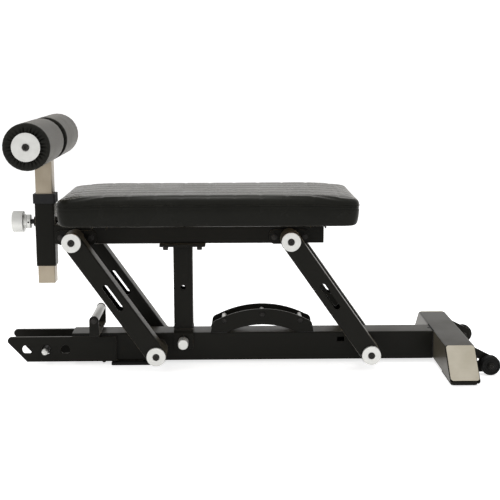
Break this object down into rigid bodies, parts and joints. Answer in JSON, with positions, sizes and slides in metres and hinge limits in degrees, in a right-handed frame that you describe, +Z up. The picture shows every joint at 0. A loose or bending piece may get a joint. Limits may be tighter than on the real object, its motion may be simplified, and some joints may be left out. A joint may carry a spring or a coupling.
{
  "type": "utility bench",
  "caption": "Low padded bench on parallel swinging links over a square floor rail, with an adjustable roller post, a pinned dock at one end and transport wheels at the other.",
  "frame": {"origin": "on the floor, under the middle of the bench's bounding box", "axes": "+X along the bench from the dock to the transport wheels, +Y across it, away from the side whose knobs show, +Z up"},
  "size_m": [1.28, 0.538, 0.6513],
  "materials": {
    "black_paint": "satin",
    "bright_steel": "satin",
    "bare_steel": "satin",
    "black_rubber": "matte",
    "cover": "matte",
    "board": "matte"
  },
  "bodies": {
    "base": {"base_rail": "black_paint", "rear_crossbar": "black_paint", "end_plate_near": "bare_steel", "end_plate_far": "bare_steel", "crossbar_foot_near": "black_rubber", "crossbar_foot_far": "black_rubber", "front_foot": "black_rubber", "dock_cheek_near": "black_paint", "dock_cheek_far": "black_paint", "base_pivot_tube_front": "black_paint", "base_pivot_tube_rear": "black_paint", "arc_plate_near": "black_paint", "arc_plate_far": "black_paint", "arc_spacer_front": "bright_steel", "arc_spacer_middle": "bright_steel", "arc_spacer_rear": "bright_steel", "handle_bracket": "black_paint", "handle_grip": "bright_steel", "wheel_bracket_near": "black_paint", "wheel_bracket_far": "black_paint"},
    "wheel_near": {"wheel_near": "black_rubber"},
    "wheel_far": {"wheel_far": "black_rubber"},
    "dock_pin": {"dock_pin": "bright_steel"},
    "front_links": {"front_link_near": "black_paint", "front_link_far": "black_paint", "front_lower_axle": "bright_steel", "front_upper_axle": "bright_steel", "front_lower_disc": "bright_steel", "front_upper_disc": "bright_steel"},
    "rear_links": {"rear_link_near": "black_paint", "rear_link_far": "black_paint", "rear_lower_axle": "bright_steel", "rear_upper_axle": "bright_steel", "rear_lower_disc": "bright_steel", "rear_upper_disc": "bright_steel"},
    "seat": {"seat_frame": "black_paint", "pivot_block_front_near": "black_paint", "pivot_block_front_far": "black_paint", "pivot_block_rear_near": "black_paint", "pivot_block_rear_far": "black_paint", "upright_sleeve": "black_paint", "sleeve_collar": "black_rubber", "centre_post": "black_paint", "post_flange": "black_paint", "saddle": "black_paint", "pad_bracket_front": "black_paint", "pad_bracket_rear": "black_paint", "pad_board": "board", "pad_cushion": "cover", "front_pin_housing": "bright_steel", "saddle_pin_housing": "bright_steel", "front_pin_spring": "bright_steel", "saddle_pin_spring": "bright_steel"},
    "front_pin": {"front_pull_pin": "bright_steel"},
    "saddle_pin": {"saddle_pull_pin": "bright_steel"},
    "roller_post": {"upright_tube": "bare_steel", "roller_axle": "bright_steel", "roller_end_disc": "bright_steel"},
    "roller_near": {"roller_near": "cover"},
    "roller_far": {"roller_far": "cover"}
  },
  "joints": [
    {"name": "seat_swing", "type": "hinge", "parent": "base", "child": "front_links", "pos_m": [-0.243, 0, 0.0433], "axis": [0, 1, 0], "range_deg": [0, 70]},
    {"name": "seat_level", "type": "hinge", "parent": "front_links", "child": "seat", "pos_m": [-0.45236, 0, 0.34229], "axis": [0, 1, 0], "range_deg": [-70, 0]},
    {"name": "rear_link_swing", "type": "hinge", "parent": "base", "child": "rear_links", "pos_m": [0.314, 0, 0.0433], "axis": [0, 1, 0], "range_deg": [0, 70]},
    {"name": "post_height", "type": "slide", "parent": "seat", "child": "roller_post", "axis": [0, 0, 1], "range_m": [-0.05, 0.125]},
    {"name": "front_pin_pull", "type": "slide", "parent": "seat", "child": "front_pin", "axis": [-1, 0, 0], "range_m": [-0.007, 0.006], "stiffness_N_per_m": 400, "springref_m": -0.012, "deforming": ["front_pin_spring"]},
    {"name": "saddle_pin_pull", "type": "slide", "parent": "seat", "child": "saddle_pin", "axis": [0, -1, 0], "range_m": [-0.007, 0.006], "stiffness_N_per_m": 400, "springref_m": -0.012, "deforming": ["saddle_pin_spring"]},
    {"name": "roller_near_spin", "type": "hinge", "parent": "roller_post", "child": "roller_near", "pos_m": [-0.53516, -0.137, 0.59379], "axis": [0, 1, 0], "continuous": true},
    {"name": "roller_far_spin", "type": "hinge", "parent": "roller_post", "child": "roller_far", "pos_m": [-0.53516, 0.137, 0.59379], "axis": [0, 1, 0], "continuous": true},
    {"name": "wheel_near_spin", "type": "hinge", "parent": "base", "child": "wheel_near", "pos_m": [0.615, -0.165, 0.0255], "axis": [0, 1, 0], "continuous": true},
    {"name": "wheel_far_spin", "type": "hinge", "parent": "base", "child": "wheel_far", "pos_m": [0.615, 0.165, 0.0255], "axis": [0, 1, 0], "continuous": true},
    {"name": "dock_pin_slide", "type": "slide", "parent": "base", "child": "dock_pin", "axis": [0, 1, 0], "range_m": [0, 0.125]}
  ],
  "couplings": [
    {"joint": "seat_level", "follows": "seat_swing", "ratio": -1},
    {"joint": "rear_link_swing", "follows": "seat_swing", "ratio": 1}
  ]
}
